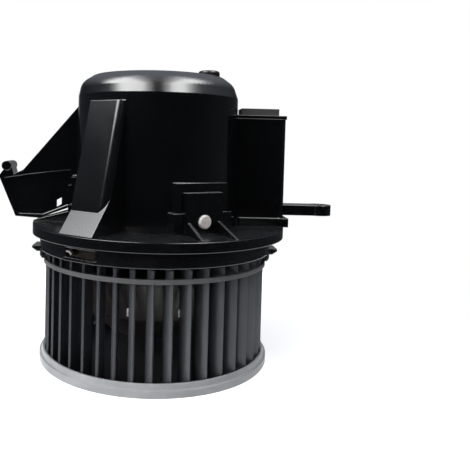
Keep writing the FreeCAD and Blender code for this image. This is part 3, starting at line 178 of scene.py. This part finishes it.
def dull_solid(name, colour, roughness, patches):
    """Moulded, pressed or plated stuff of an even colour, with a grain finer than its patches."""
    finish, tree, shader = new_finish(name)
    mottle(tree, shader, colour, DULL_TONES, patches)
    fill(shader, Roughness=roughness)
    soft_edges(tree, shader, DULL_EDGE, cloud(tree, patches * 3), DULL_GRAIN)
    return finish


zinc_plate = worked_metal("zinc plate", ZINC, roughness=0.4, marks=ZINC_MARKS)
give(zinc_plate, "motor_can")
give(dull_solid("sintered ferrite", FERRITE, roughness=0.6, patches=500.0), "magnet_front", "magnet_rear")
give(worked_metal("oiled bronze", BRONZE, roughness=0.45), "lower_bearing", "upper_bearing")


# Brush gear: a black nylon card closes the can and carries two carbon brushes in brass boxes,
# each pushed by a folded spring. Two brass bars take the current out to the plug.

BRASS = (0.62, 0.45, 0.17)
CARBON = (0.02, 0.02, 0.021)
NYLON = (0.018, 0.018, 0.02)
SPRING_STRIP = (0.22, 0.23, 0.27)
BRASS_PIECES = ("brush_box_front", "brush_box_rear", "bus_bar_front", "bus_bar_rear")

give(dull_solid("card nylon", NYLON, roughness=0.5, patches=300.0), "brush_card")
give(dull_solid("pressed carbon", CARBON, roughness=0.55, patches=800.0), "brush_front", "brush_rear")
give(worked_metal("brass strip", BRASS, roughness=0.3), *BRASS_PIECES)
give(worked_metal("spring strip", SPRING_STRIP, roughness=0.3), "brush_spring_front", "brush_spring_rear")


# Cradle and its mounts: a nylon cup with three screws holds the can, and three soft rubber bushes
# on ivory pins hang it in the bell so that the case hears little of the motor. The pins' domed
# heads show.

MOUNT_RUBBER = (0.02, 0.02, 0.02)
PIN_IVORY = (0.60, 0.56, 0.54)
PIN_TONES = (0.88, 1.06)
PIN_PATCHES = 500.0
PIN_LIGHT_DEPTH = (0.002, 0.0018, 0.0014)
PIN_EDGE = 0.0006
PIN_GRAIN = 0.1
MOUNTS = ("front_right", "rear_right", "left")


def pin_plastic():
    finish, tree, shader = new_finish("ivory pin plastic")
    mottle(tree, shader, PIN_IVORY, PIN_TONES, PIN_PATCHES)
    fill(shader, Roughness=0.38, Subsurface_Weight=0.2, Subsurface_Radius=PIN_LIGHT_DEPTH)
    soft_edges(tree, shader, PIN_EDGE, cloud(tree, PIN_PATCHES * 3), PIN_GRAIN)
    return finish


give(dull_solid("cradle nylon", NYLON, roughness=0.5, patches=300.0), "cradle")
give(zinc_plate, "cradle_screws")
rubber = dull_solid("mount rubber", MOUNT_RUBBER, roughness=0.7, patches=400.0)
give(rubber, *["rubber_mount_" + place for place in MOUNTS])
give(pin_plastic(), *["mount_pin_" + place for place in MOUNTS])


# Housing: one moulding of black filled polypropylene, made up here of bell, flange, wiring box and
# side bracket, and the box's cover of the same. The walls keep the mould's gloss, what looks up is
# duller and a little dusty, and inside its cooling-air mouth the black is painted brown, a painted
# reflection of the surroundings.

HOUSING_PIECES = ("bell", "flange", "wiring_box", "side_bracket", "box_cover")
HOUSING_BLACK = (0.0016, 0.0018, 0.0022)
HOUSING_IOR = 1.76
HOUSING_EDGE = 0.0006
HOUSING_GRAIN = 0.015
HOUSING_GRAIN_SCALE = 700.0
WALL_ROUGHNESS = (0.13, 0.17)
WALL_PATCHES = 45.0
TOP_DULLING = 0.12
TOP_TURN = (0.2, 0.45)
SETTLED_DUST = (0.012, 0.014, 0.018)
SETTLED_SHARE = 0.35
SETTLED_TURN = (0.55, 1.0)
SETTLED_PATCHES = 140.0
MOUTH_PAINTED_REFLECTION = (0.060, 0.050, 0.040)
MOUTH_REFLECTION_PATCHES = 200.0
MOUTH_ROOF = (-0.0012, -0.0006)
MOUTH_INSIDE = (0.0736, 0.0742)


def combine(tree, operation, first, second):
    """One value out of two, by the operation that a Math node has under that name."""
    both = tree.nodes.new("ShaderNodeMath")
    both.operation = operation
    tree.links.new(first, both.inputs[0])
    tree.links.new(second, both.inputs[1])
    return both.outputs["Value"]


def covered(tree, share, under, over):
    """The colour under, a tuple or a node's output, with that share of the colour over on it."""
    layer = tree.nodes.new("ShaderNodeMix")
    layer.data_type = "RGBA"
    tree.links.new(share, layer.inputs["Factor"])
    if isinstance(under, tuple):
        layer.inputs["A"].default_value = (*under, 1.0)
    else:
        tree.links.new(under, layer.inputs["A"])
    layer.inputs["B"].default_value = (*over, 1.0)
    return layer.outputs["Result"]


def mouth_reflection_share(tree):
    """How much of the painted brown reflection lies at a place: under the flange and within the
    collar's outer wall, in soft patches."""
    spot = tree.nodes.new("ShaderNodeTexCoord").outputs["Object"]
    parts = tree.nodes.new("ShaderNodeSeparateXYZ")
    tree.links.new(spot, parts.inputs["Vector"])
    level = tree.nodes.new("ShaderNodeVectorMath")
    level.operation = "MULTIPLY"
    level.inputs[1].default_value = (1.0, 1.0, 0.0)
    tree.links.new(spot, level.inputs[0])
    radius = tree.nodes.new("ShaderNodeVectorMath")
    radius.operation = "LENGTH"
    tree.links.new(level.outputs["Vector"], radius.inputs[0])
    below = spread(tree, parts.outputs["Z"], 1.0, 0.0, *MOUTH_ROOF)
    inside = spread(tree, radius.outputs["Value"], 1.0, 0.0, *MOUTH_INSIDE)
    patches = spread(tree, cloud(tree, MOUTH_REFLECTION_PATCHES, detail=5.0), 0.4, 1.0)
    return combine(tree, "MULTIPLY", combine(tree, "MULTIPLY", patches, below), inside)


def housing_plastic():
    """Glossy on the walls, rougher and dustier the more a face looks up, with a painted brown reflection in
    the mouth.
    """
    finish, tree, shader = new_finish("black housing plastic")
    shape = tree.nodes.new("ShaderNodeNewGeometry")
    parts = tree.nodes.new("ShaderNodeSeparateXYZ")
    tree.links.new(shape.outputs["Normal"], parts.inputs["Vector"])
    upward = parts.outputs["Z"]
    settled = combine(tree, "MULTIPLY", spread(tree, upward, 0.0, SETTLED_SHARE, *SETTLED_TURN),
                      spread(tree, cloud(tree, SETTLED_PATCHES, detail=6.0), 0.1, 1.0))
    colour = covered(tree, settled, HOUSING_BLACK, SETTLED_DUST)
    # Painted reflection: brown laid on the black inside the air mouth.
    colour = covered(tree, mouth_reflection_share(tree), colour, MOUTH_PAINTED_REFLECTION)
    tree.links.new(colour, shader.inputs["Base Color"])
    skin = spread(tree, cloud(tree, WALL_PATCHES, detail=5.0), *WALL_ROUGHNESS)
    dulled = combine(tree, "ADD", skin, spread(tree, upward, 0.0, TOP_DULLING, *TOP_TURN))
    tree.links.new(dulled, shader.inputs["Roughness"])
    fill(shader, IOR=HOUSING_IOR)
    grain = cloud(tree, HOUSING_GRAIN_SCALE, detail=3.0)
    soft_edges(tree, shader, HOUSING_EDGE, grain, HOUSING_GRAIN)
    return finish


give(housing_plastic(), *HOUSING_PIECES)


# Plug socket in the top of the wiring box: matt brown-grey polyamide, clipped in from inside
# before the cover closes the box.

SOCKET_BROWN = (0.016, 0.015, 0.017)

give(dull_solid("socket plastic", SOCKET_BROWN, roughness=0.70, patches=350.0), "plug_socket")


# Bung of glossy black rubber, pressed in the crown to close the hole that the mould's core left.
# Its head stands a little proud of the crown.

BUNG_RUBBER = (0.008, 0.008, 0.009)

give(dull_solid("bung rubber", BUNG_RUBBER, roughness=0.28, patches=250.0), "crown_bung")


# Fan wheel: one moulding of unfilled polypropylene, made up here of ring, blades, hoop and hub,
# and pushed on the shaft. It comes grey and faintly see-through out of a polished mould. Blades,
# hoop and hub get darker greys than the ring: painted shade for the shade under the flange and
# inside the wheel, darkest in the hub.

BLADE_PAINTED_SHADE = (0.036, 0.038, 0.043)
HOOP_PAINTED_SHADE = (0.062, 0.062, 0.064)
RING_GREY = (0.225, 0.232, 0.238)
HUB_PAINTED_SHADE = (0.034, 0.029, 0.026)
WHEEL_TONES = (0.9, 1.08)
WHEEL_PATCHES = 60.0
WHEEL_ROUGHNESS = (0.30, 0.42)
WHEEL_IOR = 1.49
WHEEL_LIGHT_DEPTH = (0.004, 0.004, 0.004)
WHEEL_LIGHT_SCALE = 0.6
WHEEL_EDGE = 0.0004
WHEEL_GRAIN = 0.15


def wheel_plastic(name, colour, through):
    """The wheel's plastic in one of its greys, with the share of the light that goes into it. The darker
    greys are painted shade.
    """
    finish, tree, shader = new_finish(name)
    mottle(tree, shader, colour, WHEEL_TONES, WHEEL_PATCHES)
    skin = spread(tree, cloud(tree, WHEEL_PATCHES * 5), *WHEEL_ROUGHNESS)
    tree.links.new(skin, shader.inputs["Roughness"])
    fill(shader, IOR=WHEEL_IOR, Subsurface_Weight=through)
    fill(shader, Subsurface_Radius=WHEEL_LIGHT_DEPTH, Subsurface_Scale=WHEEL_LIGHT_SCALE)
    soft_edges(tree, shader, WHEEL_EDGE, cloud(tree, WHEEL_PATCHES * 15), WHEEL_GRAIN)
    return finish


# Painted shade: blades, hoop and hub are darker copies of the ring's grey.
give(wheel_plastic("blade plastic painted shade", BLADE_PAINTED_SHADE, through=0.1), "wheel_blades")
give(wheel_plastic("hoop plastic painted shade", HOOP_PAINTED_SHADE, through=0.1), "wheel_hoop")
give(wheel_plastic("ring plastic", RING_GREY, through=0.35), "wheel_ring")
give(wheel_plastic("hub plastic painted shade", HUB_PAINTED_SHADE, through=0.0), "wheel_hub")


# Hub clip and balance clips: a blued spring clip holds the wheel on the shaft. Two bows of strip
# are then pushed over the inner edges of two blades, so that the wheel runs without shaking. They
# get a pale matt colour in place of plated metal, a painted glint, so that their flared legs shine.

PAINTED_GLINT_STRIP = (0.80, 0.80, 0.78)
CLIPPED_BLADES = {"balance_clip_left": -1, "balance_clip_right": 2}
BLADE_COUNT = 42
BLADE_PITCH = math.tau / BLADE_COUNT
BLADE_TIP_RADIUS = 0.0712
BLADE_INNER_RADIUS = 0.0600
BLADE_LAG = math.radians(2.6)
BLADE_ARC_RADIUS = 0.0090
CLIP_LEG = 0.0040
CLIP_FLARE = 0.0009
CLIP_GRIP = 0.00085
CLIP_HALF_STRIP = 0.00015
CLIP_HEIGHTS = (-0.0392, -0.0348)
BOW_STEPS = 8


def bent_strip(name, line, half, ends, place, finish, body):
    """A strip of even thickness, half on each side of a line of flat points, that runs between
    two ends. place() turns a flat point and an end into a place in space."""
    rings = []
    for k, spot in enumerate(line):
        before, after = line[max(k - 1, 0)], line[min(k + 1, len(line) - 1)]
        run = Vector((after[0] - before[0], after[1] - before[1])).normalized()
        side = Vector((-run.y, run.x)) * half
        near, far = Vector(spot) + side, Vector(spot) - side
        rings.append([place(near, ends[0]), place(far, ends[0]), place(far, ends[1]), place(near, ends[1])])
    faces = [(0, 1, 2, 3), tuple(len(rings) * 4 - k for k in (1, 2, 3, 4))]
    for start in range(0, len(rings) * 4 - 4, 4):
        for c in range(4):
            following = (c + 1) % 4
            faces.append((start + c, start + 4 + c, start + 4 + following, start + following))
    mesh = bpy.data.meshes.new(name)
    mesh.from_pydata([corner for ring in rings for corner in ring], [], faces)
    mesh.materials.append(finish)
    work = bmesh.new()
    work.from_mesh(mesh)
    bmesh.ops.recalc_face_normals(work, faces=work.faces)
    work.to_mesh(mesh)
    work.free()
    piece = bpy.data.objects.new(name, mesh)
    bpy.context.scene.collection.objects.link(piece)
    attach(piece, body)


def clip_line():
    """The bow round the blade's edge with a leg and a flare on each side: (along, out) points."""
    turns = [math.pi * k / BOW_STEPS for k in range(BOW_STEPS + 1)]
    bow = [(-math.sin(turn) * CLIP_GRIP, math.cos(turn) * CLIP_GRIP) for turn in turns]
    flare = (CLIP_LEG + CLIP_FLARE, CLIP_GRIP + CLIP_FLARE)
    leg = [flare, (CLIP_LEG, CLIP_GRIP), (CLIP_LEG / 2, CLIP_GRIP)]
    return leg + bow + [(along, -out) for along, out in reversed(leg)]


def on_blade(blade):
    """Turns distances along the blade from its inner edge and out from its middle into a place."""
    inner = Vector((-BLADE_INNER_RADIUS * math.sin(BLADE_LAG), -BLADE_INNER_RADIUS * math.cos(BLADE_LAG)))
    tip = Vector((0.0, -BLADE_TIP_RADIUS))
    chord = inner - tip
    depth = math.sqrt(BLADE_ARC_RADIUS ** 2 - chord.length_squared / 4)
    middle = (inner + tip) / 2 + Vector((chord.y, -chord.x)) / chord.length * depth
    first = math.atan2(inner.y - middle.y, inner.x - middle.x)
    turn = BLADE_PITCH * blade

    def place(spot, height):
        angle = first + spot.x / BLADE_ARC_RADIUS
        flat = middle + Vector((math.cos(angle), math.sin(angle))) * (BLADE_ARC_RADIUS + spot.y)
        return (flat.x * math.cos(turn) - flat.y * math.sin(turn),
                flat.x * math.sin(turn) + flat.y * math.cos(turn), height)
    return place


give(worked_metal("blued clip steel", SPRING_STRIP, roughness=0.35), "hub_clip")
for name, blade in CLIPPED_BLADES.items():
    # Painted glint: a pale matt colour in place of plated metal, so the legs shine.
    bright = dull_solid(name + " plating", PAINTED_GLINT_STRIP, roughness=0.3, patches=500.0)
    bent_strip(name, clip_line(), CLIP_HALF_STRIP, CLIP_HEIGHTS, on_blade(blade), bright,
               body="rotor")


# Hook in the cooling-air mouth: a small nylon latch that stands on the scoop, just inside
# the collar's left edge, and holds the scoop's corner to the collar. Its pale grey is painted
# highlight, for the bright edge that the black mouth shows there.

HOOK_PAINTED_HIGHLIGHT = (0.20, 0.19, 0.175)
MOUTH_DIRECTION = math.radians(-124.2)
HOOK_LINE = ((-0.0112, -0.0044), (-0.0084, -0.0046), (-0.0074, -0.0053), (-0.0072, -0.0064))
HOOK_HALF = 0.00055
HOOK_RADII = (0.0722, 0.0746)


def in_mouth(spot, radius):
    """A place from its distance across the mouth, its height and its radius."""
    out = Vector((math.cos(MOUTH_DIRECTION), math.sin(MOUTH_DIRECTION)))
    flat = out * radius + Vector((-out.y, out.x)) * spot.x
    return (flat.x, flat.y, spot.y)


# Painted highlight: the hook's pale grey stands in for the bright edge of the black mouth.
grey = dull_solid("hook nylon painted highlight", HOOK_PAINTED_HIGHLIGHT, roughness=0.5, patches=300.0)
bent_strip("mouth_hook", HOOK_LINE, HOOK_HALF, HOOK_RADII, in_mouth, grey,
           body="motor_unit")


# Floor: a round table of white board, which shows as plain white with the blower's soft shadow,
# in the picture as in the gloss of the housing. Inside the wheel's ring the board is painted dark
# and gets no glow: painted shade, a disc that keeps the board from shining up between the blades.

TABLE_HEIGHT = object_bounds()[0].z
TABLE_RADIUS = 0.27
TABLE_RINGS = 10
TABLE_SPOKES = 48
BOARD_WHITE = (0.86, 0.86, 0.86)
BOARD_GLOW = 0.32
BOARD_PAINTED_SHADE = (0.02, 0.02, 0.022)
PAINTED_SHADE_EDGE = (0.070, 0.072)


def seen_directly(tree):
    """One for what the camera, a gloss or a clear piece looks at, nought for scattered light."""
    ray = tree.nodes.new("ShaderNodeLightPath").outputs
    seen = combine(tree, "MAXIMUM", ray["Is Camera Ray"], ray["Is Glossy Ray"])
    return combine(tree, "MAXIMUM", seen, ray["Is Transmission Ray"])


def white_board():
    finish, tree, shader = new_finish("white board")
    fill(shader, Roughness=0.9, Specular_IOR_Level=0.1, Emission_Color=(1.0, 1.0, 1.0, 1.0))
    spot = tree.nodes.new("ShaderNodeTexCoord")
    reach = tree.nodes.new("ShaderNodeVectorMath")
    reach.operation = "DISTANCE"
    tree.links.new(spot.outputs["Object"], reach.inputs[0])
    reach.inputs[1].default_value = (0.0, 0.0, TABLE_HEIGHT)
    # Painted shade: the board is dark and has no glow inside the wheel's ring.
    shades = spread(tree, reach.outputs["Value"], BOARD_PAINTED_SHADE, BOARD_WHITE, *PAINTED_SHADE_EDGE)
    tree.links.new(shades, shader.inputs["Base Color"])
    glow_outside_painted_shade = spread(tree, reach.outputs["Value"], 0.0, BOARD_GLOW, *PAINTED_SHADE_EDGE)
    glow = combine(tree, "MULTIPLY", seen_directly(tree), glow_outside_painted_shade)
    tree.links.new(glow, shader.inputs["Emission Strength"])
    return finish


def table_top():
    corners = [(0.0, 0.0, TABLE_HEIGHT)]
    for ring in range(1, TABLE_RINGS + 1):
        reach = TABLE_RADIUS * ring / TABLE_RINGS
        for spoke in range(TABLE_SPOKES):
            angle = math.tau * spoke / TABLE_SPOKES
            corners.append((reach * math.cos(angle), reach * math.sin(angle), TABLE_HEIGHT))
    faces = []
    for spoke in range(TABLE_SPOKES):
        following = (spoke + 1) % TABLE_SPOKES
        faces.append((0, 1 + spoke, 1 + following))
        for inner in range(1, len(corners) - TABLE_SPOKES, TABLE_SPOKES):
            outer = inner + TABLE_SPOKES
            faces.append((inner + spoke, outer + spoke, outer + following, inner + following))
    mesh = bpy.data.meshes.new("table_top")
    mesh.from_pydata(corners, [], faces)
    mesh.materials.append(white_board())
    board = bpy.data.objects.new("table_top", mesh)
    bpy.context.scene.collection.objects.link(board)


table_top()


# Light: two ceiling windows, each one lamp that lights the blower and two that only show in its
# gloss, a dim wide one round a bright one, so that their shapes in the shoulder end softly. A weak
# card stands at the front left, and the room is dim and cool with a white wall behind.

CEILING = 1.30
WINDOW_LENGTH = 1.9
WINDOW_Y = -0.95
WINDOW_LIGHT = 15.5
WINDOWS = {
    "left": {"x": -1.24, "width": 1.46},
    "right": {"x": 0.84, "width": 0.78},
}
PANES = {
    "daylight": {"wider": 0.10, "share": 1.0, "lower": 0.0, "mirrored": False, "lights": True},
    "blind": {"wider": 0.45, "share": 0.60, "lower": 0.01, "mirrored": True, "lights": False},
    "pane": {"wider": -0.10, "share": 1.40, "lower": 0.02, "mirrored": True, "lights": False},
}
CARD_PLACE = (-1.45, -0.85, 0.20)
CARD_SIZE = (0.9, 0.7)
CARD_LIGHT = 25.0
FLANGE_MIDDLE = (0.0, 0.0, 0.0)
ROOM_COOL = (0.80, 0.88, 1.0)
DIM_WALLS = (0.005, 0.05)
DIM_WALLS_TURN = (-0.9, 0.0)
ROOM_CEILING = 0.80
CEILING_TURN = (0.2, 0.9)
CEILING_BACK = (-0.6, 0.0)
WHITE_WALL = 0.42
WHITE_WALL_TURN = (0.88, 1.0)


def lamp(name, place, aim, size, power, mirrored, lights):
    """A flat lamp of that width and length, which shows in a gloss, lights the rest, or both."""
    light = bpy.data.lights.new(name, "AREA")
    light.shape = "RECTANGLE"
    light.size, light.size_y = size
    light.energy = power
    holder = bpy.data.objects.new(name, light)
    holder.location = place
    holder.rotation_euler = (Vector(aim) - Vector(place)).to_track_quat("-Z", "Y").to_euler()
    holder.visible_glossy = mirrored
    holder.visible_diffuse = lights
    bpy.context.scene.collection.objects.link(holder)


def window_lamp(name, window, pane):
    """One of a window's three lamps, looking straight down and as strong as it is large."""
    size = (window["width"] + pane["wider"], WINDOW_LENGTH + pane["wider"])
    power = WINDOW_LIGHT * pane["share"] * size[0] * size[1]
    over = (window["x"], WINDOW_Y, CEILING - pane["lower"])
    under = (window["x"], WINDOW_Y, 0.0)
    lamp(name, over, under, size, power, pane["mirrored"], pane["lights"])


for side, window in WINDOWS.items():
    for layer, pane in PANES.items():
        window_lamp(side + " " + layer, window, pane)
lamp("front card", CARD_PLACE, FLANGE_MIDDLE, CARD_SIZE, CARD_LIGHT, mirrored=False, lights=True)


def room():
    """Dim cool walls, darkest in front, under a ceiling that is bright towards the back. The
    camera sees plain white, and a gloss sees some of it behind the blower."""
    world = bpy.data.worlds.new("room")
    bpy.context.scene.world = world
    world.use_nodes = True
    tree = world.node_tree
    ahead = tree.nodes.new("ShaderNodeTexCoord")
    parts = tree.nodes.new("ShaderNodeSeparateXYZ")
    tree.links.new(ahead.outputs["Generated"], parts.inputs["Vector"])
    back, up = parts.outputs["Y"], parts.outputs["Z"]
    overhead = combine(tree, "MULTIPLY", spread(tree, up, 0.0, ROOM_CEILING, *CEILING_TURN),
                       spread(tree, back, 0.0, 1.0, *CEILING_BACK))
    light = combine(tree, "MAXIMUM", spread(tree, back, *DIM_WALLS, *DIM_WALLS_TURN), overhead)
    dim = fill(tree.nodes["Background"], Color=(*ROOM_COOL, 1.0))
    tree.links.new(light, dim.inputs["Strength"])
    white = fill(tree.nodes.new("ShaderNodeBackground"), Strength=1.0, Color=(1.0, 1.0, 1.0, 1.0))
    behind = spread(tree, back, 0.0, WHITE_WALL, *WHITE_WALL_TURN)
    wall = combine(tree, "MULTIPLY", behind, seen_directly(tree))
    camera_ray = tree.nodes.new("ShaderNodeLightPath").outputs["Is Camera Ray"]
    choice = tree.nodes.new("ShaderNodeMixShader")
    tree.links.new(combine(tree, "MAXIMUM", wall, camera_ray), choice.inputs["Fac"])
    tree.links.new(dim.outputs["Background"], choice.inputs[1])
    tree.links.new(white.outputs["Background"], choice.inputs[2])
    tree.links.new(choice.outputs["Shader"], tree.nodes["World Output"].inputs["Surface"])


room()


# Camera: held almost level, 37 cm in front of the fan axis and 6 cm above the flange, with the
# blower left of the middle and low in the picture, as the photograph has it.

EYE = (0.0, -0.3749, 0.0580)
TURN_RIGHT = 1.22
TILT_DOWN = 2.25
ROLL = 1.39
FOCAL_PIXELS = 560.0
SIDE_SHIFT = 66.0
UP_SHIFT = -68.8
PICTURE_PIXELS = 470.0
SENSOR = 36.0


def camera():
    data = bpy.data.cameras.new("camera")
    data.sensor_width = SENSOR
    data.lens = FOCAL_PIXELS / PICTURE_PIXELS * SENSOR
    data.shift_x = SIDE_SHIFT / PICTURE_PIXELS
    data.shift_y = UP_SHIFT / PICTURE_PIXELS
    held = bpy.data.objects.new("camera", data)
    bpy.context.scene.collection.objects.link(held)
    turn, tilt = math.radians(TURN_RIGHT), math.radians(TILT_DOWN)
    ahead = Vector((math.sin(turn) * math.cos(tilt), math.cos(turn) * math.cos(tilt), -math.sin(tilt)))
    level = ahead.to_track_quat("-Z", "Y")
    held.location = EYE
    held.rotation_mode = "QUATERNION"
    held.rotation_quaternion = level @ Quaternion((0.0, 0.0, 1.0), math.radians(ROLL))
    bpy.context.scene.camera = held


camera()
bpy.context.scene.view_settings.view_transform = "Standard"
